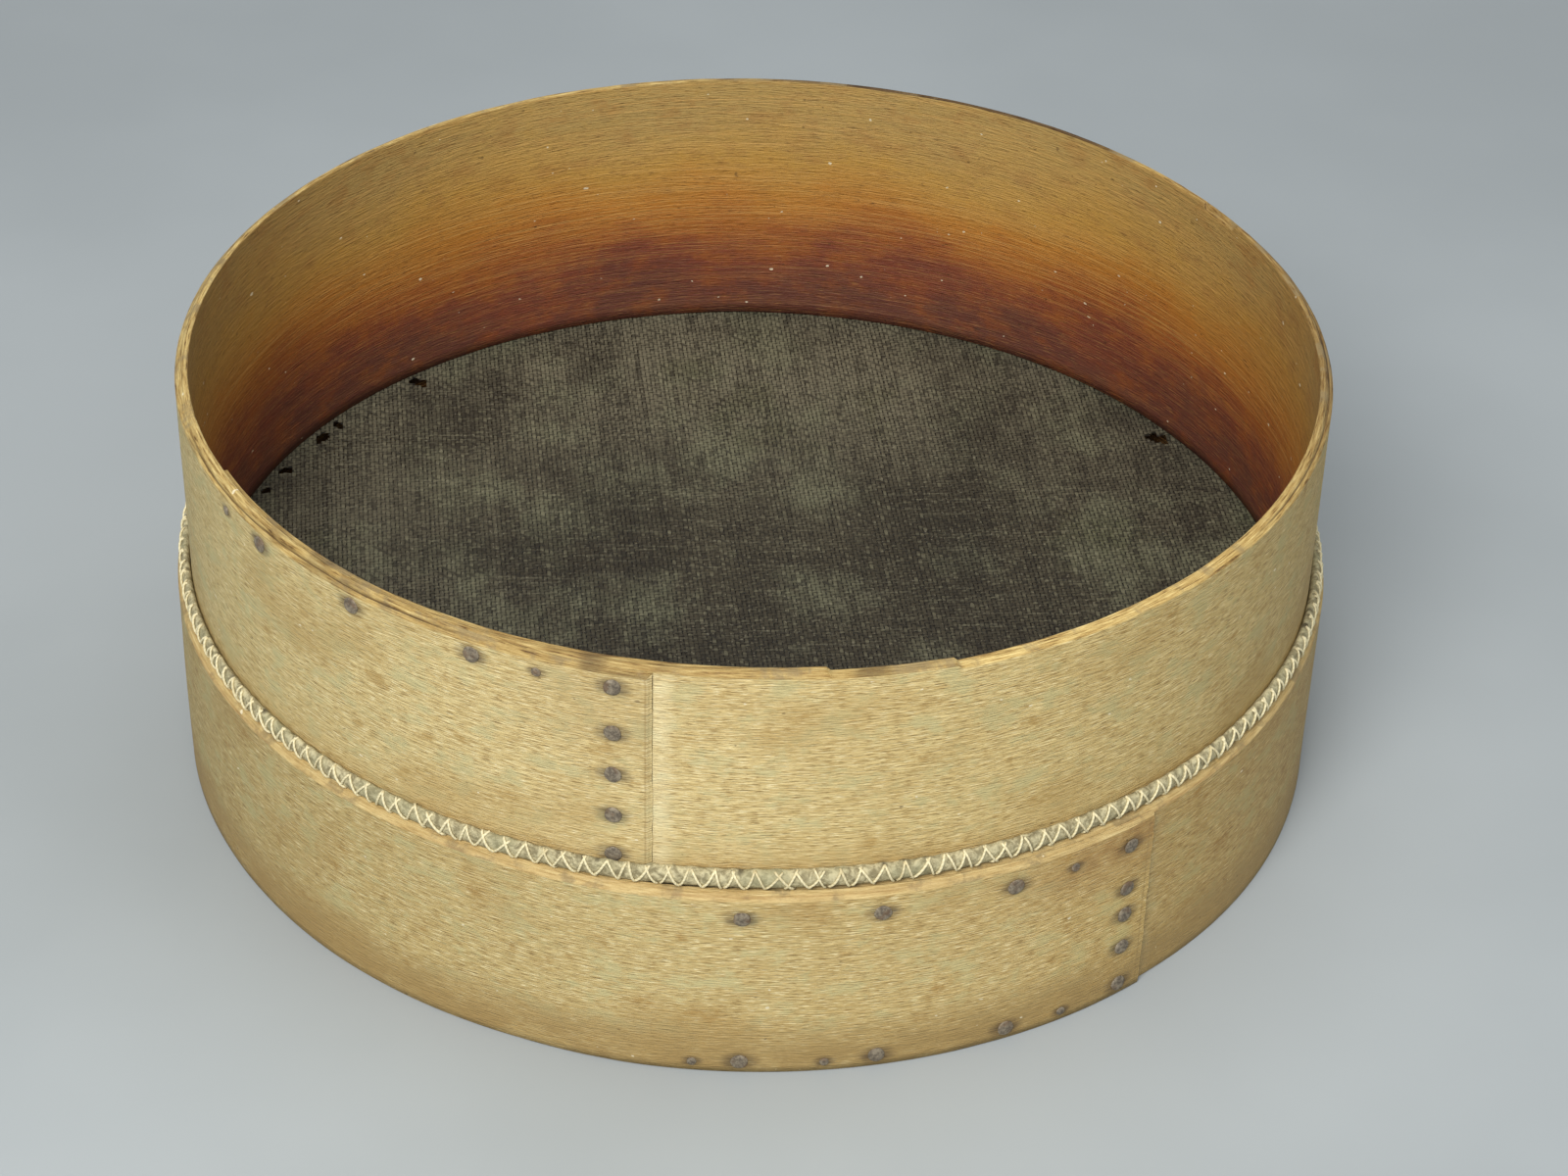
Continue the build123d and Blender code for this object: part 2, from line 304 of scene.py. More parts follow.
def board_piece(name, material, seam, lap, radii, bottom, top, grime, seed):
    """One board bent round and lapped, as a strip from its inner tip to its outer end.

    radii(turn) gives the outer and inner radius at a turn in degrees, counted from the seam;
    top(turn, angle, radius) gives the edge's height, and bottom likewise; grime(angle, radius)
    gives how dirty the rim is.
    """
    main = int((360 + lap) / STATION_STEP)
    turns = np.concatenate([
        np.linspace(-lap, 360 - END_SLOPE, main),
        360 - END_SLOPE * END_STATIONS,
    ])
    count = len(turns)
    # each row: share of the way in, share of the height, how far inside, how far on the rim
    rows = []
    for k in range(OUTER_ROWS):
        rows.append((0.0, k / OUTER_ROWS, 0.0, 0.0))
    rows.append((0.0, BELOW_EDGE, 0.0, 0.0))
    for k in range(RIM_POINTS):
        rows.append((k / (RIM_POINTS - 1), 1.0, k / (RIM_POINTS - 1), 1.0))
    rows.append((1.0, BELOW_EDGE, 1.0, 0.0))
    for k in range(1, INNER_ROWS + 1):
        rows.append((1.0, 1 - k / INNER_ROWS, 1.0, 0.0))
    for k in range(1, FOOT_POINTS):
        rows.append((1 - k / FOOT_POINTS, 0.0, 1 - k / FOOT_POINTS, 0.0))
    across, up, inside, rim = (np.array(column) for column in zip(*rows))
    size = len(rows)

    turn = np.repeat(turns, size)
    share_in = np.tile(across, count)
    share_up = np.tile(up, count)
    outer, inner = radii(turn)
    radius = outer + (inner - outer) * share_in
    angle = seam + turn
    low = bottom(turn, angle, radius)
    high = top(turn, angle, radius)
    height = low + (high - low) * share_up
    # the bent board is not quite true
    flat = np.stack([np.cos(np.radians(angle)), np.sin(np.radians(angle)), height * 6], -1)
    wander = field(flat, 2.6, seed, 2) * WANDER
    radius = radius + wander * window(turn, 12, 300, 10)
    ragged = field(np.stack([height * 900, height * 0, height * 0], -1), 1.0, 3, 2)
    angle = angle + ragged * RAGGED_END * ease(turn - 359.0)
    x = radius * np.cos(np.radians(angle))
    y = radius * np.sin(np.radians(angle))
    vertices = np.stack([x, y, height], -1)
    faces = ring_faces(count, size)
    faces.append(tuple(range(size)))
    faces.append(tuple(reversed(range((count - 1) * size, count * size))))
    along = np.radians(turn) * UPPER_RADIUS
    dirt = grime(angle, radius) * np.tile(rim, count)
    return mesh_piece(name, vertices, faces, material, attributes={
        "board": np.stack([along, height, share_in * BOARD], -1),
        "inside": np.tile(inside, count),
        "rim": np.tile(rim, count),
        "turn": turn / 360,
        "grime": dirt,
    })


def upper_radii(turn):
    """Outer and inner radius of the upper board, whose outer end runs out over its start."""
    tucked = UPPER_RADIUS - OUTER_END - LAP_GAP
    settled = tucked + (UPPER_RADIUS - tucked) * ease(turn / UPPER_SETTLE)
    under = -turn / UPPER_LAP
    over = (turn - 360 + UPPER_LAP) / UPPER_LAP
    outer = np.where(turn < 0, tucked + (OUTER_END - BOARD) * under, settled)
    flush = UPPER_RADIUS - BOARD
    tip_inside = flush - LAP_GAP - INNER_TIP
    lapped_under = tucked - BOARD + (tip_inside - tucked + BOARD) * under
    inner = np.where(turn < 0, lapped_under, settled - BOARD)
    inner = np.where(over > 0, flush + (BOARD - OUTER_END) * over, inner)
    # the outer end is rubbed down to a slope
    rubbed = RUBBED_SHARE * END_SLOPE
    outer = outer - RUBBED_DEPTH * OUTER_END * ease((turn - 360 + rubbed) / rubbed)
    return outer, inner


def lower_radii(turn):
    """Outer and inner radius of the lower board, whose bore stays round over the cloth."""
    raised = LOWER_BORE + INNER_TIP + LAP_GAP
    climb = ease((turn - 360 + LOWER_LAP + LOWER_SETTLE) / LOWER_SETTLE)
    over = np.clip((turn - 360 + LOWER_LAP) / LOWER_LAP, 0, 1)
    under = np.clip(-turn / LOWER_LAP, 0, 1)
    inner = LOWER_BORE + (raised - LOWER_BORE) * climb + (BOARD - INNER_TIP) * over
    outer = LOWER_RADIUS + (raised - LOWER_BORE) * climb + (OUTER_END - INNER_TIP) * over
    outer = np.where(turn < 0, LOWER_RADIUS + (INNER_TIP - BOARD) * under, outer)
    return outer, inner


# where splinters have come off the front of the rim: from, to (degrees), and how deep at each end
CHIPS = (
    (-83.0, -71.0, 1.6 * MM, 1.8 * MM),
    (-71.0, -33.0, 3.1 * MM, 1.6 * MM),
    (-33.0, -12.0, 1.6 * MM, 0.0),
)
# the notch where a splinter stands off the rim: from, to (degrees), how far in, how deep
SPLINTER_FROM, SPLINTER_TO = 26.5, 31.5
SPLINTER_IN = 2.2 * MM
SPLINTER_DEPTH = 2.2 * MM
# the rim's grain, in noise cycles per radian round it and per metre across it
RIM_GRAIN = 12.0
RIM_GRAIN_ACROSS = 2600
# where the rim has opened along the grain: from, to (degrees), and how far in from the outside
CRACK_DEPTH = 0.7 * MM
CRACK_WANDER = 0.25 * MM
CRACK_FADE = 8
RIM_CRACKS = ((-156.0, -122.0, 1.4 * MM), (-30.0, 14.0, 1.5 * MM))


def wrap(angle):
    """An angle as -180 to 180 degrees."""
    return (angle + 180) % 360 - 180


def crack_line(plain, place):
    """The radius that a crack follows round the rim."""
    return UPPER_RADIUS - place + CRACK_WANDER * ring_noise(plain, 20, 5)


def rim_top(turn, angle, radius):
    """The rim's height: beveled outside, chipped, cracked and worn."""
    plain = wrap(angle)
    depth = np.maximum(radius - (UPPER_RADIUS - RIM_BEVEL), 0)
    drop = depth * 0.95 + 0.25 * MM * ease(1 - (radius - UPPER_RADIUS + BOARD) / (0.7 * MM))
    for start, end, deep_start, deep_end in CHIPS:
        share = (plain - start) / (end - start)
        chip = (deep_start + (deep_end - deep_start) * share) * (share > 0) * (share <= 1)
        drop = np.where(chip > 0, np.maximum(drop, chip + 0.12 * depth), drop)
    for start, end, place in RIM_CRACKS:
        strength = window(plain, start, end, CRACK_FADE)
        groove = np.exp(-(((radius - crack_line(plain, place)) / (0.28 * MM)) ** 2))
        drop = drop + CRACK_DEPTH * strength * groove
    splinter = window(plain, SPLINTER_FROM, SPLINTER_TO, 0.5)
    splinter = splinter * ease((UPPER_RADIUS - SPLINTER_IN - radius) / (0.4 * MM))
    drop = drop + SPLINTER_DEPTH * splinter
    slow = ring_noise(plain, 9, 11)
    quick = ring_noise(plain, 70, 12)
    fibres = np.stack([np.radians(plain) * RIM_GRAIN, radius * RIM_GRAIN_ACROSS, 0 * radius], -1)
    fibre = field(fibres, 1.0, 4, 2)
    return RIM_HEIGHT - 0.25 * MM - drop + (0.14 * slow + 0.08 * quick + 0.16 * fibre) * MM


def rim_grime(angle, radius):
    """How dirty the rim is: most in its cracks, and in patches at the front left."""
    plain = wrap(angle)
    total = 0 * radius
    for start, end, place in RIM_CRACKS:
        stain = np.exp(-(((radius - crack_line(plain, place)) / (0.22 * MM)) ** 2))
        crack = window(plain, start, end, CRACK_FADE) * stain
        total = np.maximum(total, 0.95 * crack)
    spread = ease((ring_noise(plain, 60, 61) + 0.1) / 0.6) * window(plain, -170, -72, 15)
    edge = ease((radius - UPPER_RADIUS + 1.5 * MM) / (1.5 * MM))
    total = np.maximum(total, 0.5 * spread * edge)
    left = ease((ring_noise(plain, 90, 62) - 0.05) / 0.5) * window(plain, -135, -78, 10)
    return np.maximum(total, 0.6 * left)


def ledge_grime(angle, radius):
    """Dirt along the outer edge of the lower hoop's top."""
    plain = wrap(angle)
    edge = np.exp(-(((radius - LOWER_RADIUS) / (0.5 * MM)) ** 2))
    return 0.25 * edge * ease((ring_noise(plain, 30, 63) + 0.3) / 0.6)


def ledge_top(turn, angle, radius):
    """The height of the lower hoop's top, worn to a slope towards the outside."""
    plain = wrap(angle)
    outer, _ = lower_radii(turn)
    near_edge = np.clip(1 - (outer - radius) / LEDGE_SLOPE, 0, 1)
    drop = LEDGE_DROP * (0.7 * near_edge + 0.3 * near_edge ** 4)
    return LEDGE_HEIGHT - drop + 0.12 * MM * (ring_noise(plain, 12, 21) - 1)


def foot_bottom(turn, angle, radius):
    """The height of the lower hoop's underside, rounded and worn at its outer edge."""
    plain = wrap(angle)
    edge = ease((radius - LOWER_RADIUS + 0.8 * MM) / (0.8 * MM))
    worn = 0.35 * MM * edge + 0.5 * MM * edge * np.maximum(ring_noise(plain, 45, 22) - 0.25, 0)
    return LOWER_LOW.z + worn


def upper_bottom(turn, angle, radius):
    """The upper hoop stands flat on the cloth."""
    return CLOTH_LEVEL + 0 * radius


# ---- wood ------------------------------------------------------------------------------------
# stains follow the grain, so distances along it count for less
STAIN_ALONG = 0.62


def stains(shader, place, spots):
    """Dark rust that has soaked into the wood round each nail; spots are along, height and size."""
    total = None
    drawn_out = shader.vector("MULTIPLY", place, (STAIN_ALONG, 1.0, 0.0))
    ragged = shader.noise(shader.vector("MULTIPLY", place, (130.0, 420.0, 200.0)), detail=3.0)
    for along, height, size in spots:
        ends = {0: drawn_out, 1: (along * STAIN_ALONG, height, 0.0)}
        distance = shader.node("ShaderNodeVectorMath", ends, operation="DISTANCE")
        spot = shader.remap(distance.outputs["Value"], size * 0.5, size * 1.45, 1.0, 0.0)
        total = spot if total is None else shader.math("MAXIMUM", total, spot)
    broken = shader.remap(ragged, 0.3, 0.7, 0.55, 1.15)
    return shader.math("MULTIPLY", total, broken, clamp=True)


# where the slope at a board's outer end begins, as a share of a turn, and the half width of the painted
# shadow along its crease
CREASE = 0.9985
CREASE_SOFT = 0.0005


def wood(name, spots, low, high, tone, dirt_foot):
    """Old bent board: pale outside, ochre to red brown inside, bright on the worn rim.

    low and high are the board's edges, and the foot of its outside is dirty up to dirt_foot, a
    share of its height. tone holds its colours. Its ramps by the share of a turn from its seam paint
    shade on the outside and light and shade on the inside, and "rim_dirt" darkens it by that share;
    "inner" runs from the inside's bottom to its top; "slope" and "beside" say how strong the painted
    highlight is on the outer end's slope and on the board beside the seam, and "end_low" and
    "end_reach" say how marked the wear at the seam is.
    """
    s = Shader(name)
    board = s.attribute("board").outputs["Vector"]
    inside = s.attribute("inside").outputs["Fac"]
    rim = s.attribute("rim").outputs["Fac"]
    turn = s.attribute("turn").outputs["Fac"]
    split = s.node("ShaderNodeSeparateXYZ", {0: board})
    height = split.outputs["Y"]
    level = s.remap(height, low, high)

    # noises drawn out along the grain, in cycles per metre along, up and through the board
    fine = s.noise(s.vector("MULTIPLY", board, (150.0, 1750.0, 900.0)), detail=3.0, roughness=0.6)
    fleck = s.noise(s.vector("MULTIPLY", board, (230.0, 2300.0, 1200.0)), detail=2.0, roughness=0.5)
    streak = s.noise(s.vector("MULTIPLY", board, (60.0, 720.0, 160.0)), detail=4.0, roughness=0.55)
    cloud = s.noise(s.vector("MULTIPLY", board, (60.0, 95.0, 20.0)), detail=5.0, roughness=0.68)
    broad = s.vector("MULTIPLY", board, (15.0, 22.0, 5.0))
    patch = s.noise(s.vector("ADD", broad, (3.1, 7.7, 0.0)), detail=5.0)
    line = s.noise(s.vector("MULTIPLY", board, (16.0, 2300.0, 300.0)), detail=1.0, roughness=0.4)

    # outside
    outer = s.mix(s.remap(streak, 0.25, 0.75), tone["outer_dark"], tone["outer_light"])
    outer = s.mix(s.remap(fine, 0.42, 0.64, 0.0, 0.7), outer, tone["outer_line"])
    outer = s.mix(s.remap(fleck, 0.55, 0.68, 0.0, 0.7), outer, tone["outer_pale"])
    outer = s.mix(s.remap(fleck, 0.45, 0.33, 0.0, 0.85), outer, tone["outer_deep"])
    outer = s.mix(s.remap(cloud, 0.50, 0.64, 0.0, 0.75), outer, tone["outer_green"])
    outer = s.mix(s.remap(cloud, 0.43, 0.31, 0.0, 0.75), outer, tone["outer_brown"])
    outer = s.mix(s.remap(patch, 0.5, 0.68, 0.0, 0.5), outer, tone["outer_brown"])
    # painted shade: the outside is multiplied darker away from the front, towards the left, right and
    # back, by a ramp over the share of a turn
    side = s.ramp(turn, tone["outer_shade_by_turn"])
    outer = s.mix(1.0, outer, side, "MULTIPLY")
    foot = s.math("MULTIPLY", s.remap(level, dirt_foot, 0.0), s.remap(cloud, 0.3, 0.6, 0.45, 1.0))
    outer = s.mix(foot, outer, tone["foot"])
    near_end = s.math("MULTIPLY", s.remap(turn, 0.950, 0.985), s.remap(level, tone["end_low"], 1.0))
    blotched = s.remap(cloud, 0.3, 0.6, 0.1, tone["end_reach"])
    near_end = s.math("MULTIPLY", near_end, blotched)
    outer = s.mix(near_end, outer, tone["end_stain"])
    # painted highlight: the rubbed slope at the outer end is lightened; painted shadow: a dark line
    # along the crease where the slope begins
    slope = s.math("MULTIPLY", s.remap(turn, CREASE, CREASE + 0.0004), tone["slope"])
    outer = s.mix(slope, outer, tone["outer_pale"])
    before = s.remap(turn, CREASE - CREASE_SOFT, CREASE)
    after = s.remap(turn, CREASE + CREASE_SOFT, CREASE)
    crease = s.math("MULTIPLY", before, after)
    outer = s.mix(s.math("MULTIPLY", crease, 0.45), outer, tone["outer_deep"])
    # painted highlight: a pale band, broken by the cloud noise, on the board just beside the seam
    beside = s.math("MULTIPLY", s.remap(turn, 0.0068, 0.0020), s.remap(turn, -0.001, 0.0))
    pale = s.remap(cloud, 0.35, 0.6, 0.3 * tone["beside"], tone["beside"])
    beside = s.math("MULTIPLY", beside, pale)
    outer = s.mix(beside, outer, tone["outer_pale"])

    # inside
    deep = s.math("ADD", level, s.remap(cloud, 0.2, 0.8, -0.08, 0.08))
    deep = s.math("ADD", deep, s.remap(patch, 0.2, 0.8, -0.10, 0.10))
    inner = s.ramp(deep, tone["inner"])
    inner = s.mix(s.remap(cloud, 0.45, 0.7, 0.0, 0.35), inner, tone["inner_warm"])
    lit = s.remap(level, 0.0, 0.55, 0.08, 0.42)
    inner = s.mix(s.math("MULTIPLY", s.remap(line, 0.50, 0.64), lit), inner, tone["inner_line"])
    inner = s.mix(s.remap(fine, 0.56, 0.70, 0.0, 0.22), inner, tone["inner_line"])
    inner = s.mix(s.remap(fleck, 0.40, 0.30, 0.0, 0.4), inner, tone["inner_deep"])
    # painted light and shade: the inside is multiplied lighter at the back and darker towards the left
    # and right, by the share of a turn
    inner = s.mix(1.0, inner, s.ramp(turn, tone["inner_light_by_turn"]), "MULTIPLY")

    # worn rim, cut across the fibres
    fibre = s.noise(s.vector("MULTIPLY", board, (90.0, 400.0, 1500.0)), detail=4.0, roughness=0.7)
    worn = s.ramp(fibre, tone["rim"])
    grime = s.ramp(turn, tone["rim_dirt"])
    worn = s.mix(1.0, worn, grime, "MULTIPLY")
    worn = s.mix(s.remap(cloud, 0.5, 0.62, 0.0, 0.75), worn, tone["rim_grey"])
    worn = s.mix(s.attribute("grime").outputs["Fac"], worn, tone["rim_deep"])

    colour = s.mix(s.remap(inside, 0.97, 1.0), outer, inner)
    colour = s.mix(s.remap(rim, 0.5, 1.0), colour, worn)
    soaked = stains(s, board, spots)
    colour = s.mix(s.math("MULTIPLY", soaked, 0.7), colour, tone["rust"])
    specks = s.noise(s.vector("MULTIPLY", board, (260.0, 380.0, 50.0)), detail=1.0)
    colour = s.mix(s.remap(specks, 0.76, 0.80, 0.0, 0.5), colour, tone["speck_dark"])
    colour = s.mix(s.remap(specks, 0.225, 0.20, 0.0, 0.8), colour, tone["speck_pale"])

    lines = s.math("ADD", s.math("MULTIPLY", fine, 0.9), s.math("MULTIPLY", fleck, 0.6))
    lines = s.math("ADD", lines, s.math("MULTIPLY", streak, 0.6))
    normal = s.bump(lines, 0.0006, 1.0)
    roughness = s.remap(streak, 0.2, 0.8, 0.66, 0.52)
    return s.finish(colour, roughness, normal, specular=0.3)


UPPER_TONE = {
    "outer_dark": paint(206, 182, 124),
    "outer_light": paint(232, 211, 153),
    "outer_line": paint(190, 162, 104),
    "outer_pale": paint(248, 234, 188),
    "outer_deep": paint(150, 122, 74),
    "outer_green": paint(198, 188, 138),
    "outer_brown": paint(180, 148, 88),
    # the strengths of the painted highlight on the outer end's slope and beside the seam
    "slope": 0.1,
    "beside": 0.42,
    "end_stain": paint(168, 140, 88),
    "end_reach": 0.4,
    "end_low": 0.55,
    "foot": paint(196, 168, 112),
    # painted shade on the outside, by the share of a turn from the seam, lightest at the front
    "outer_shade_by_turn": (
        (0.0, (1.0, 1.0, 1.0, 1.0)), (0.10, (0.96, 0.93, 0.85, 1.0)), (0.22, (0.78, 0.72, 0.58, 1.0)),
        (0.5, (0.72, 0.67, 0.55, 1.0)), (0.80, (0.84, 0.85, 0.80, 1.0)), (1.0, (1.0, 1.0, 1.0, 1.0)),
    ),
    "inner": (
        (0.0, paint(100, 56, 44)), (0.14, paint(122, 62, 42)), (0.30, paint(154, 88, 40)),
        (0.50, paint(182, 120, 48)), (0.74, paint(186, 142, 68)), (1.0, paint(176, 146, 88)),
    ),
    # painted light and shade on the inside, by the share of a turn from the seam, lightest at the back
    "inner_light_by_turn": (
        (0.0, (1.0, 1.0, 1.0, 1.0)), (0.30, (0.84, 0.78, 0.70, 1.0)), (0.42, (1.04, 1.05, 1.0, 1.0)),
        (0.60, (1.06, 1.08, 1.04, 1.0)), (0.72, (0.82, 0.78, 0.70, 1.0)), (1.0, (0.8, 0.74, 0.66, 1.0)),
    ),
    "inner_warm": paint(150, 84, 26),
    "inner_line": paint(206, 160, 92),
    "inner_deep": paint(70, 34, 16),
    "rim": (
        (0.34, paint(96, 70, 38)), (0.43, paint(176, 146, 88)), (0.56, paint(206, 182, 122)),
        (0.72, paint(238, 218, 158)),
    ),
    "rim_grey": paint(146, 126, 88),
    "rim_deep": paint(72, 52, 30),
    "rim_dirt": (
        (0.0, (0.72, 0.66, 0.56, 1.0)), (0.07, (0.85, 0.80, 0.7, 1.0)), (0.08, (1.1, 1.08, 1.0, 1.0)),
        (0.17, (0.98, 0.92, 0.8, 1.0)), (0.26, (0.5, 0.42, 0.33, 1.0)),
        (0.36, (0.62, 0.52, 0.4, 1.0)), (0.39, (0.95, 0.85, 0.65, 1.0)), (0.41, (0.2, 0.15, 0.12, 1.0)),
        (0.50, (0.2, 0.15, 0.12, 1.0)), (0.55, (0.9, 0.84, 0.72, 1.0)), (0.86, (0.95, 0.92, 0.85, 1.0)),
        (1.0, (0.74, 0.68, 0.58, 1.0)),
    ),
    "rust": paint(70, 56, 44),
    "speck_dark": paint(70, 48, 26),
    "speck_pale": paint(240, 228, 196),
}
LOWER_TONE = dict(
    UPPER_TONE,
    outer_dark=paint(192, 168, 112),
    outer_light=paint(216, 194, 138),
    outer_brown=paint(172, 138, 80),
    # the strengths of the painted highlight on the outer end's slope and beside the seam
    slope=0.0,
    beside=0.08,
    end_stain=paint(156, 114, 64),
    end_reach=0.75,
    end_low=0.62,
    rim_deep=paint(150, 104, 60),
    foot=paint(164, 136, 84),
    rim=(
        (0.30, paint(166, 138, 88)), (0.45, paint(194, 168, 116)), (0.60, paint(212, 190, 138)),
        (0.75, paint(224, 206, 158)),
    ),
    # painted shade on the outside, by the share of a turn from the seam, lightest at the front
    outer_shade_by_turn=(
        (0.0, (0.86, 0.78, 0.64, 1.0)), (0.12, (0.72, 0.64, 0.5, 1.0)), (0.5, (0.7, 0.64, 0.5, 1.0)),
        (0.72, (0.8, 0.79, 0.72, 1.0)), (0.87, (0.98, 0.98, 0.95, 1.0)), (0.96, (1.0, 0.96, 0.88, 1.0)),
        (1.0, (0.96, 0.88, 0.72, 1.0)),
    ),
    inner=(
        (0.0, paint(104, 78, 46)), (0.45, paint(84, 58, 34)), (0.62, paint(34, 24, 18)),
        (1.0, paint(30, 22, 16)),
    ),
    rim_dirt=((0.0, (0.92, 0.88, 0.78, 1.0)), (1.0, (0.96, 0.93, 0.84, 1.0))),
)


def spots_on(seam, nodes, lap):
    """Where the nails of some nodes mark a board, as along, height and head radius.

    A nail through the lap marks the board twice, on its outer end and on the start beneath it.
    """
    found = []
    for node in nodes:
        for nail in NAILS[node]:
            turn = (nail["angle"] - seam) % 360
            found.append((math.radians(turn) * UPPER_RADIUS, nail["height"], nail["head"] + 0.4 * MM))
            if turn > 360 - lap:
                beneath = math.radians(turn - 360) * UPPER_RADIUS
                found.append((beneath, nail["height"], nail["head"]))
    return found


def build_hoops():
    upper_spots = spots_on(UPPER_SEAM, NAIL_NODES[:3], UPPER_LAP)
    upper_spots += spots_on(UPPER_SEAM, ("ledge_nails",), UPPER_LAP)
    upper_wood = wood("upper_hoop_wood", upper_spots, CLOTH_LEVEL, RIM_HEIGHT, UPPER_TONE, 0.42)
    upper = board_piece(
        "bent_upper_hoop", upper_wood, UPPER_SEAM, UPPER_LAP, upper_radii,
        upper_bottom, rim_top, rim_grime, 1,
    )
    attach(upper, "root")
    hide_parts("upper_hoop")
    lower_spots = spots_on(LOWER_SEAM, NAIL_NODES[3:], LOWER_LAP)
    lower_wood = wood("lower_hoop_wood", lower_spots, LOWER_LOW.z, LEDGE_HEIGHT, LOWER_TONE, 0.28)
    lower = board_piece(
        "bent_lower_hoop", lower_wood, LOWER_SEAM, LOWER_LAP, lower_radii,
        foot_bottom, ledge_top, ledge_grime, 2,
    )
    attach(lower, "root")
    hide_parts("lower_hoop")


# ---- woven hair cloth ------------------------------------------------------------------------
THREAD_PITCH = 1.65 * MM
THREAD_WIDTH = 1.34 * MM
THREAD_RISE = 0.16 * MM
THREAD_CROWN = 0.10 * MM
THREAD_WOBBLE = 0.3 * MM
CLOTH_SAG = 1.6 * MM
CLOTH_WAVE = 0.9 * MM
CLOTH_RIPPLE = 0.22 * MM
WEAVE_TURN = math.radians(7.0)
TWILL = 3
# torn holes near the wall: angle, distance from the axis, radius
TEARS = (
    (34.0, 190.0 * MM, 3.2 * MM), (134.5, 190.5 * MM, 2.4 * MM), (150.5, 191.0 * MM, 2.2 * MM),
    (158.5, 191.0 * MM, 1.8 * MM), (163.0, 192.0 * MM, 1.4 * MM), (147.5, 192.0 * MM, 1.5 * MM),
)


def cloth_height(x, y):
    """The stretched cloth sags a little and is no longer flat."""
    reach = np.hypot(x, y) / UPPER_RADIUS
    loose = ease((0.97 - reach) / 0.25)
    points = np.stack([x, y, 0 * x], -1)
    waves = field(points, 11.0, 31, 2) * CLOTH_WAVE + field(points, 34.0, 32, 2) * CLOTH_RIPPLE
    middle = (CLOTH_LOW.z + CLOTH_HIGH.z) / 2 - 0.1 * MM
    return middle - loose * (CLOTH_SAG * (1 - reach * reach) - waves)


def weave(name, material, cross, seed):
    """All the threads of one direction, as crowned ribbons that go over and under."""
    reach = UPPER_RADIUS - 0.5 * MM
    lines = int(2 * reach / THREAD_PITCH)
    grid = (np.arange(lines) - (lines - 1) / 2) * THREAD_PITCH
    line, station = np.meshgrid(np.arange(lines), np.arange(lines), indexing="ij")
    side, along = grid[line], grid[station]
    wobble_points = np.stack([side * 40, along * 9, 0 * side], -1).reshape(-1, 3)
    wobble = field(wobble_points, 1.0, seed, 2).reshape(side.shape) * THREAD_WOBBLE
    flat_x = np.where(cross, along, side + wobble)
    flat_y = np.where(cross, side + wobble, along)
    under_cross = (line + station) % TWILL == 0
    over = under_cross if cross else ~under_cross
    rise = np.where(over, THREAD_RISE, -THREAD_RISE)
    width = THREAD_WIDTH * (1 + 0.10 * RNG.standard_normal(side.shape))
    width = width * (1 + 0.06 * RNG.standard_normal((lines, 1)))
    cosine, sine = math.cos(WEAVE_TURN), math.sin(WEAVE_TURN)
    world_x = flat_x * cosine - flat_y * sine
    world_y = flat_x * sine + flat_y * cosine
    kept = np.hypot(world_x, world_y) < reach
    for angle, distance, radius in TEARS:
        tear_x = distance * math.cos(math.radians(angle))
        tear_y = distance * math.sin(math.radians(angle))
        bearing = np.arctan2(world_y - tear_y, world_x - tear_x)
        uneven = 0.45 * np.sin(2 * bearing + angle) + 0.25 * np.sin(5 * bearing + 2 * angle)
        ragged = radius * (1 + uneven)
        kept &= np.hypot(world_x - tear_x, world_y - tear_y) > ragged
    base = np.zeros(side.shape)
    base[kept] = cloth_height(world_x[kept], world_y[kept])
    index = np.full(side.shape, -1)
    index[kept] = np.arange(int(kept.sum()))
    across = np.array([-0.5, 0.0, 0.5])
    crown = np.array([0.0, THREAD_CROWN, 0.0])
    offset_x = (-sine if cross else cosine) * across
    offset_y = (cosine if cross else sine) * across
    x = world_x[kept][:, None] + width[kept][:, None] * offset_x
    y = world_y[kept][:, None] + width[kept][:, None] * offset_y
    z = base[kept][:, None] + rise[kept][:, None] + crown
    vertices = np.stack([x, y, z], -1).reshape(-1, 3)
    faces = []
    joined = kept[:, :-1] & kept[:, 1:]
    for a, b in zip(index[:, :-1][joined], index[:, 1:][joined]):
        for k in range(2):
            quad = (3 * a + k, 3 * a + k + 1, 3 * b + k + 1, 3 * b + k)
            quad = quad if cross else reversed(quad)
            faces.append(tuple(int(v) for v in quad))
    # painted shade for the shader's "over" value: 1 on the crown where a ribbon goes over, 0.55 at its
    # edges, 0 where it dips under
    shade = np.where(over[kept], 1.0, 0.0)
    tint = (0.35 * RNG.random((lines, 1)) + 0.65 * RNG.random(side.shape))[kept]
    return mesh_piece(name, vertices, faces, material, attributes={
        "over": np.stack([shade * 0.55, shade, shade * 0.55], -1).reshape(-1),
        "tint": np.repeat(tint, 3),
    })


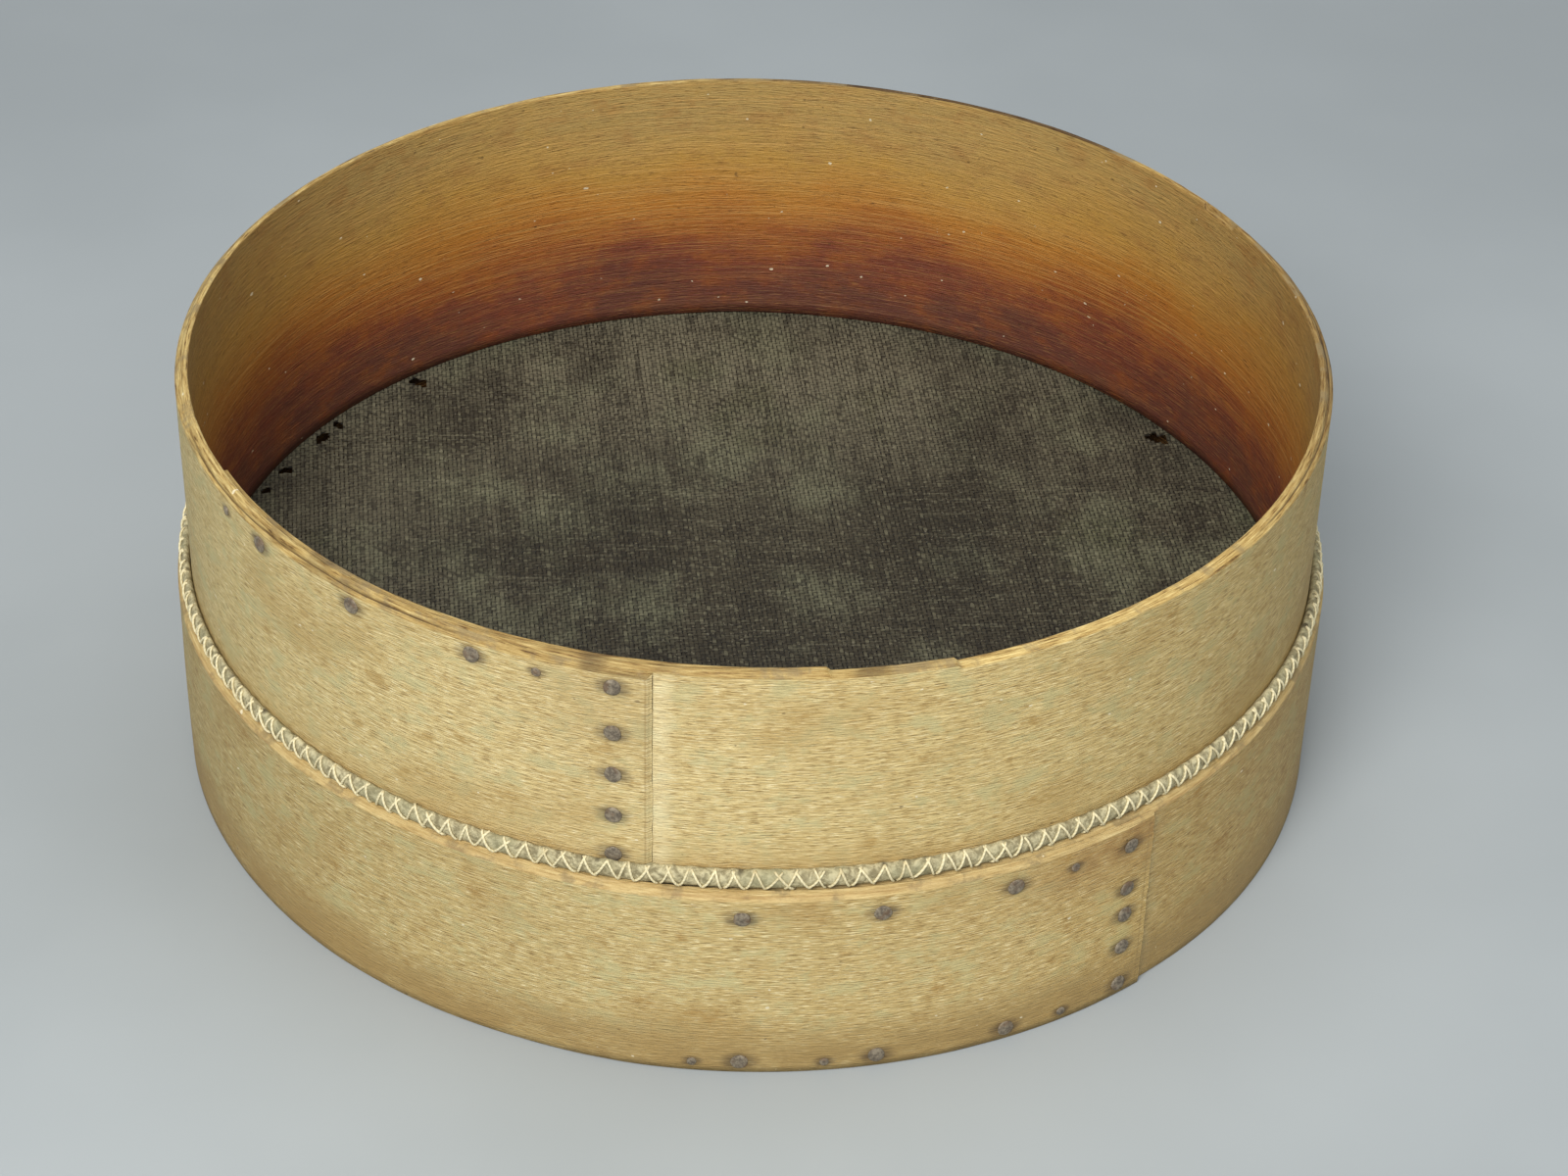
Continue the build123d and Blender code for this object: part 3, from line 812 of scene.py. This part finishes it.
def hair_cloth():
    """Dark, dusty threads with painted shade: darker at the front than towards the back and the left,
    and darkest where they dip.
    """
    s = Shader("hair_cloth_threads")
    over = s.attribute("over").outputs["Fac"]
    tint = s.attribute("tint").outputs["Fac"]
    place = s.node("ShaderNodeTexCoord").outputs["Object"]
    split = s.node("ShaderNodeSeparateXYZ", {0: place})
    drawn = s.vector("MULTIPLY", place, (1.0, 0.7, 1.0))
    dust = s.noise(drawn, 26.0, 5.0, 0.66)
    blot = s.noise(drawn, 17.0, 4.0, 0.6)
    grit = s.noise(place, 900.0, 2.0)
    rows = s.noise(s.vector("MULTIPLY", place, (30.0, 520.0, 1.0)), detail=2.0)
    columns = s.noise(s.vector("MULTIPLY", place, (520.0, 30.0, 1.0)), detail=2.0)
    # painted shade: the cloth is darker at the front, in the near wall's shadow, and paler towards the
    # back and the left
    back = s.remap(split.outputs["Y"], 0.0, 0.20)
    left = s.remap(split.outputs["X"], -0.05, -0.16, 0.0, 0.5)
    base = s.mix(s.math("MAXIMUM", back, left), paint(64, 59, 46), paint(112, 107, 88))
    base = s.mix(s.remap(dust, 0.46, 0.64, 0.0, 0.6), base, paint(114, 114, 90))
    base = s.mix(s.remap(blot, 0.54, 0.34, 0.0, 0.6), base, paint(42, 38, 30))
    base = s.mix(s.remap(blot, 0.60, 0.72, 0.0, 0.4), base, paint(66, 68, 42))
    base = s.mix(s.remap(rows, 0.54, 0.70, 0.0, 0.28), base, paint(128, 124, 102))
    base = s.mix(s.remap(columns, 0.48, 0.34, 0.0, 0.4), base, paint(40, 37, 30))
    base = s.mix(s.remap(tint, 0.45, 0.15, 0.0, 0.6), base, paint(34, 31, 26))
    base = s.mix(s.remap(tint, 0.62, 0.95, 0.0, 0.28), base, paint(138, 134, 108))
    base = s.mix(s.remap(grit, 0.62, 0.72, 0.0, 0.4), base, paint(150, 144, 122))
    # painted shade: near black where a thread dips under another, and darker at each ribbon's edges
    colour = s.mix(s.remap(over, 0.75, 0.0, 0.0, 0.9), base, paint(16, 14, 12))
    normal = s.bump(grit, 0.0002, 0.5)
    return s.finish(colour, 0.62, normal, specular=0.25)


def build_cloth():
    material = hair_cloth()
    warp = weave("cloth_warp", material, False, 41)
    weft = weave("cloth_weft", material, True, 42)
    for piece in (warp, weft):
        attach(piece, "root")
        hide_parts("sieve_cloth")


# ---- hem and stitches ------------------------------------------------------------------------
STITCHES = 188
STATIONS_PER_STITCH = 8
HEM_STATIONS = STATIONS_PER_STITCH * STITCHES
HEM_AROUND = 18


def upper_outside(angle):
    """The upper hoop's outside radius at an angle."""
    outer, _ = upper_radii((np.asarray(angle, dtype=float) - UPPER_SEAM) % 360)
    return outer


def hem_surface(angle, lean, stand_off=0.0):
    """A point on the rolled hem: lean is 0 straight out, 90 on top and -90 below."""
    wall = upper_outside(angle)
    outer = HEM_HIGH.x - 0.1 * MM
    lumps = ring_noise(angle, 130, 51) * 0.22 * MM + ring_noise(angle, 30, 52) * 0.2 * MM
    centre = (wall + outer) / 2
    depth = (outer - wall) / 2 + lumps - 0.15 * MM
    lean = np.radians(lean)
    radius = centre + (depth + stand_off) * np.cos(lean)
    height = HEM_HEIGHT - 0.1 * MM + (HEM_HALF_HEIGHT - 0.2 * MM + stand_off * 0.7) * np.sin(lean)
    return radius, height


def hem_cloth_material():
    s = Shader("rolled_hem_cloth")
    place = s.node("ShaderNodeTexCoord").outputs["Object"]
    wool = s.noise(place, 420.0, 4.0, 0.7, 0.5)
    patch = s.noise(place, 60.0, 3.0)
    deep = s.attribute("deep").outputs["Fac"]
    colour = s.mix(s.remap(wool, 0.35, 0.65), paint(134, 124, 94), paint(202, 192, 154))
    colour = s.mix(s.remap(patch, 0.45, 0.7, 0.0, 0.5), colour, paint(158, 156, 122))
    # painted shade in the gaps along the top of the roll
    colour = s.mix(deep, colour, paint(44, 34, 24))
    return s.finish(colour, 0.9, s.bump(wool, 0.0007, 0.9), specular=0.1)


def build_hem():
    degrees = np.linspace(0, 360, HEM_STATIONS, endpoint=False)
    lean = np.linspace(0, 360, HEM_AROUND, endpoint=False)
    angle = np.repeat(degrees, HEM_AROUND)
    leans = np.tile(lean, HEM_STATIONS)
    radius, height = hem_surface(angle, leans)
    # the thread draws the roll in where it goes through at the top
    phase = np.cos(2 * math.pi * STITCHES * angle / 360)
    top = ease((np.sin(np.radians(leans)) - 0.35) / 0.65)
    height = height - top * (0.55 + 0.45 * phase) * 0.5 * MM
    x = radius * np.cos(np.radians(angle))
    y = radius * np.sin(np.radians(angle))
    # painted shade: dark gaps along the top of the roll, where this noise is high
    gap = ring_noise(angle, 420, 53) + 0.6 * ring_noise(angle, 60, 54)
    deep = ease((np.sin(np.radians(leans)) - 0.62) / 0.3) * 0.8 * ease((gap - 0.35) / 0.5)
    hem = mesh_piece(
        "rolled_hem", np.stack([x, y, height], -1), ring_faces(HEM_STATIONS, HEM_AROUND, True),
        hem_cloth_material(), attributes={"deep": deep},
    )
    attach(hem, "root")
    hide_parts("hem_roll")


def thread_material():
    s = Shader("linen_thread")
    place = s.attribute("thread").outputs["Vector"]
    split = s.node("ShaderNodeSeparateXYZ", {0: place})
    along = s.math("MULTIPLY", split.outputs["X"], 4200.0)
    around = s.math("MULTIPLY", split.outputs["Y"], 2.0)
    twist = s.math("ADD", along, around)
    ply = s.math("SINE", twist)
    world = s.node("ShaderNodeTexCoord").outputs["Object"]
    soil = s.noise(world, 90.0, 3.0)
    colour = s.mix(s.remap(ply, -1.0, 0.2), paint(222, 209, 166), paint(234, 223, 184))
    colour = s.mix(s.remap(soil, 0.5, 0.72, 0.0, 0.5), colour, paint(178, 160, 112))
    return s.finish(colour, 0.7, s.bump(ply, 0.00005, 0.6), specular=0.3)


THREAD_RADIUS = 0.41 * MM
THREAD_SIDES = 7
THREAD_STATIONS = 9
# how far a leg reaches over the hem's lower and upper side (degrees of lean)
REACH_LOW = 64
REACH_HIGH = 66


def build_stitches():
    """One leg of thread after another over the hem, each crossing the last near its ends."""
    pitch = 360 / STITCHES
    cross_over = 0.05 * pitch
    vertices, faces, coordinates = [], [], []
    shares = np.linspace(0, 1, THREAD_STATIONS)
    for leg in range(2 * STITCHES):
        rising = leg % 2 == 0
        start = (leg / 2) * pitch - cross_over
        end = (leg / 2 + 0.5) * pitch + cross_over
        start += RNG.normal(0, 0.09) * pitch
        end += RNG.normal(0, 0.11) * pitch
        reach_low = REACH_LOW + RNG.normal(0, 3)
        reach_high = REACH_HIGH + RNG.normal(0, 6)
        bow = RNG.normal(0, 0.03) * pitch
        angle = start + (end - start) * shares + bow * np.sin(math.pi * shares)
        lean = -reach_low + (reach_low + reach_high) * shares
        if not rising:
            lean = reach_high - (reach_low + reach_high) * shares
        ends = 1 - ease(np.minimum(shares, 1 - shares) / 0.16)
        layer = (0.35 if rising else 0.95) * THREAD_RADIUS
        radius, height = hem_surface(angle, lean, layer + 0.45 * THREAD_RADIUS)
        radius = radius - ends * 1.1 * THREAD_RADIUS
        path = np.stack([
            radius * np.cos(np.radians(angle)), radius * np.sin(np.radians(angle)), height,
        ], -1)
        ahead = np.gradient(path, axis=0)
        ahead /= np.linalg.norm(ahead, axis=1)[:, None]
        out = np.stack([np.cos(np.radians(angle)), np.sin(np.radians(angle)), 0 * angle], -1)
        sideways = np.cross(ahead, out)
        sideways /= np.linalg.norm(sideways, axis=1)[:, None]
        outward = np.cross(sideways, ahead)
        thick = THREAD_RADIUS * (1 + RNG.normal(0, 0.07))
        first = len(vertices)
        for k in range(THREAD_STATIONS):
            for side in range(THREAD_SIDES):
                turn = 2 * math.pi * side / THREAD_SIDES
                spoke = sideways[k] * math.cos(turn) + outward[k] * math.sin(turn)
                vertices.append(path[k] + spoke * thick)
                coordinates.append((leg * 0.01 + shares[k] * 0.01, turn, 0.0))
        for face in ring_faces(THREAD_STATIONS, THREAD_SIDES):
            faces.append(tuple(first + v for v in face))
        faces.append(tuple(first + v for v in reversed(range(THREAD_SIDES))))
        final = first + (THREAD_STATIONS - 1) * THREAD_SIDES
        faces.append(tuple(final + v for v in range(THREAD_SIDES)))
    stitches = mesh_piece(
        "zigzag_stitches", vertices, faces, thread_material(), attributes={"thread": coordinates},
    )
    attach(stitches, "root")
    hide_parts("hem_stitching")


# ---- nails -----------------------------------------------------------------------------------
def iron_material():
    s = Shader("old_iron")
    place = s.node("ShaderNodeTexCoord").outputs["Object"]
    scale = s.noise(place, 700.0, 4.0, 0.7)
    rust = s.noise(place, 260.0, 3.0)
    colour = s.mix(s.remap(scale, 0.35, 0.65), paint(98, 88, 75), paint(146, 134, 114))
    colour = s.mix(s.remap(rust, 0.5, 0.7, 0.0, 0.6), colour, paint(112, 84, 58))
    s.surface.inputs["Metallic"].default_value = 0.15
    return s.finish(colour, s.remap(scale, 0.3, 0.7, 0.75, 0.5), s.bump(scale, 0.0004, 0.8), 0.4)


HEAD_SIDES = 22
# a head's rings from its underside to its middle: share of its radius, share of its rise
HEAD_RINGS = ((1.0, -0.1), (1.0, 0.25), (0.93, 0.6), (0.75, 0.86), (0.45, 0.97), (0.15, 1.0))


LARGE_HEAD = 2 * MM
HEAD_THICKNESS = 0.9 * MM
# the clenched tip's stations: how far down, half width and thickness, in millimetres
CLENCH = ((-0.9, 0.75, 0.5), (0.2, 0.8, 0.7), (1.6, 0.72, 0.62), (2.9, 0.5, 0.5), (3.7, 0.2, 0.3))


def forged_nail(nail, vertices, faces):
    """A hand-made head, its shank through the wood, and the tip bent over inside."""
    angle = math.radians(nail["angle"])
    out = np.array([math.cos(angle), math.sin(angle), 0.0])
    side = np.array([-math.sin(angle), math.cos(angle), 0.0])
    up = np.array([0.0, 0.0, 1.0])
    large = nail["head"] > LARGE_HEAD
    seat = nail["top"] - HEAD_THICKNESS
    proud = 0.72 * MM if large else 0.6 * MM
    lobes = 1 + 0.05 * RNG.standard_normal(HEAD_SIDES)
    lobes = (lobes + np.roll(lobes, 1) + np.roll(lobes, -1)) / 3
    tilt = RNG.normal(0, 0.04, 2)

    def place(outward, across, upward):
        return out * outward + side * across + up * (nail["height"] + upward)

    def ring(outward, points):
        first = len(vertices)
        for across, upward in points:
            vertices.append(place(outward + tilt[0] * across + tilt[1] * upward, across, upward))
        return first

    def band(first, second, count):
        for k in range(count):
            nxt = (k + 1) % count
            faces.append((first + k, first + nxt, second + nxt, second + k))

    turns = np.linspace(0, 2 * math.pi, HEAD_SIDES, endpoint=False)
    previous = None
    for scale, rise in HEAD_RINGS:
        reach = nail["head"] * scale * lobes * 0.98
        points = list(zip(reach * np.cos(turns), reach * np.sin(turns)))
        dent = 0.05 * MM * RNG.standard_normal()
        current = ring(seat + proud * rise + dent * (scale < 0.8), points)
        if previous is None:
            faces.append(tuple(reversed(range(current, current + HEAD_SIDES))))
        else:
            band(previous, current, HEAD_SIDES)
        previous = current
    faces.append(tuple(range(previous, previous + HEAD_SIDES)))
    # shank, square in section as cut nails are
    half = 0.75 * MM if large else 0.5 * MM
    corners = [(-half, -half), (half, -half), (half, half), (-half, half)]
    inner_end = ring(nail["inner"] + 0.2 * MM, corners)
    outer_end = ring(seat, corners)
    band(inner_end, outer_end, 4)
    faces.append(tuple(reversed(range(inner_end, inner_end + 4))))
    faces.append(tuple(range(outer_end, outer_end + 4)))
    if not large:
        return
    # clenched tip, hammered flat and tapering downwards
    previous = None
    for drop, wide, thick in CLENCH:
        first = len(vertices)
        face = ((-wide, 0.0), (wide, 0.0))
        back = ((wide * 0.6, -thick), (-wide * 0.6, -thick))
        for across, depth in face + back:
            vertices.append(place(nail["inner"] + (0.7 + depth) * MM, across * MM, -drop * MM))
        if previous is None:
            faces.append((first, first + 1, first + 2, first + 3))
        else:
            band(first, previous, 4)
        previous = first
    faces.append((previous + 3, previous + 2, previous + 1, previous))


def build_nails():
    iron = iron_material()
    for node in NAIL_NODES:
        vertices, faces = [], []
        for nail in NAILS[node]:
            forged_nail(nail, vertices, faces)
        piece = mesh_piece("forged_" + node, vertices, faces, iron, smooth=False)
        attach(piece, "root")
        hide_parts(node)


# ---- CAD nodes that stay ---------------------------------------------------------------------
def plain_weave(name, dark, light):
    """A fine mottle between two colours, for what is almost hidden."""
    s = Shader(name)
    place = s.node("ShaderNodeTexCoord").outputs["Object"]
    threads = s.noise(s.vector("MULTIPLY", place, (700.0, 700.0, 700.0)), detail=3.0)
    colour = s.mix(s.remap(threads, 0.35, 0.65), dark, light)
    return s.finish(colour, 0.85, s.bump(threads, 0.0003, 0.8), specular=0.15)


def dress_cad_nodes():
    """Materials for the turned-up cloth and the cane, which keep their CAD meshes."""
    margin = plain_weave("turned_up_cloth", paint(50, 46, 38), paint(92, 88, 70))
    cane = plain_weave("split_cane", paint(140, 116, 70), paint(196, 172, 118))
    for node, material in (("cloth_upturn", margin), ("hem_core", cane)):
        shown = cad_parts[node]
        for index in range(max(1, len(shown.material_slots))):
            if shown.material_slots:
                shown.material_slots[index].material = material
            else:
                shown.data.materials.append(material)


# ---- floor, light and camera -----------------------------------------------------------------
# the camera stands in front of the sieve and looks down into it
CAMERA_BACK = 1.0583
CAMERA_UP = 0.7885
CAMERA_YAW = math.radians(0.655)
CAMERA_PITCH = math.radians(34.97)
CAMERA_ROLL = math.radians(1.55)
LENS = 81.2
SENSOR = 36.0
FLOOR_HALF = 6.0
KEY_POWER = 38.0
FILL_POWER = 7.0
TOP_POWER = 10.0
SKY_STRENGTH = 0.38


def floor_material():
    s = Shader("pale_floor")
    place = s.node("ShaderNodeTexCoord").outputs["Object"]
    mottled = s.noise(place, 3.0, 4.0)
    colour = s.mix(s.remap(mottled, 0.3, 0.7), paint(160, 166, 168), paint(170, 176, 178))
    return s.finish(colour, 0.6, specular=0.3)


def area_light(name, place, target, size, power, colour=(1, 1, 1)):
    """A round soft light that faces its target."""
    lamp = bpy.data.lights.new(name, "AREA")
    lamp.shape = "DISK"
    lamp.size = size
    lamp.energy = power
    lamp.color = colour
    holder = bpy.data.objects.new(name, lamp)
    holder.location = place
    holder.rotation_euler = (Vector(target) - Vector(place)).to_track_quat("-Z", "Y").to_euler()
    bpy.context.scene.collection.objects.link(holder)


def build_stage():
    mesh = bpy.data.meshes.new("floor")
    ground = LOWER_LOW.z
    corners = [
        (-FLOOR_HALF, -FLOOR_HALF, ground), (FLOOR_HALF, -FLOOR_HALF, ground),
        (FLOOR_HALF, FLOOR_HALF, ground), (-FLOOR_HALF, FLOOR_HALF, ground),
    ]
    mesh.from_pydata(corners, [], [(0, 1, 2, 3)])
    mesh.materials.append(floor_material())
    floor = bpy.data.objects.new("floor", mesh)
    bpy.context.scene.collection.objects.link(floor)
    middle = (0.0, 0.0, RIM_HEIGHT / 2)
    area_light("key", (-0.40, -1.45, 1.45), middle, 1.0, KEY_POWER, (1.0, 0.985, 0.96))
    area_light("fill", (1.6, -0.6, 1.7), middle, 1.6, FILL_POWER, (0.97, 0.99, 1.0))
    area_light("top", (0.0, 0.5, 2.2), middle, 1.4, TOP_POWER)
    world = bpy.data.worlds.new("soft_sky")
    world.use_nodes = True
    sky = world.node_tree.nodes["Background"]
    sky.inputs["Color"].default_value = (0.9, 0.95, 1.0, 1.0)
    sky.inputs["Strength"].default_value = SKY_STRENGTH
    bpy.context.scene.world = world
    bpy.context.scene.view_settings.view_transform = "Standard"


def build_camera():
    forward = Vector((
        math.sin(CAMERA_YAW) * math.cos(CAMERA_PITCH),
        math.cos(CAMERA_YAW) * math.cos(CAMERA_PITCH),
        -math.sin(CAMERA_PITCH),
    ))
    level = Vector((math.cos(CAMERA_YAW), -math.sin(CAMERA_YAW), 0.0))
    upright = level.cross(forward)
    right = level * math.cos(CAMERA_ROLL) + upright * math.sin(CAMERA_ROLL)
    up = upright * math.cos(CAMERA_ROLL) - level * math.sin(CAMERA_ROLL)
    turn = Matrix((right, up, -forward)).transposed().to_4x4()
    lens = bpy.data.cameras.new("camera")
    lens.lens = LENS
    lens.sensor_width = SENSOR
    camera = bpy.data.objects.new("camera", lens)
    camera.matrix_world = Matrix.Translation((0.0, -CAMERA_BACK, CAMERA_UP)) @ turn
    bpy.context.scene.collection.objects.link(camera)
    bpy.context.scene.camera = camera


build_camera()
build_stage()
build_hoops()
build_cloth()
build_hem()
build_stitches()
build_nails()
dress_cad_nodes()
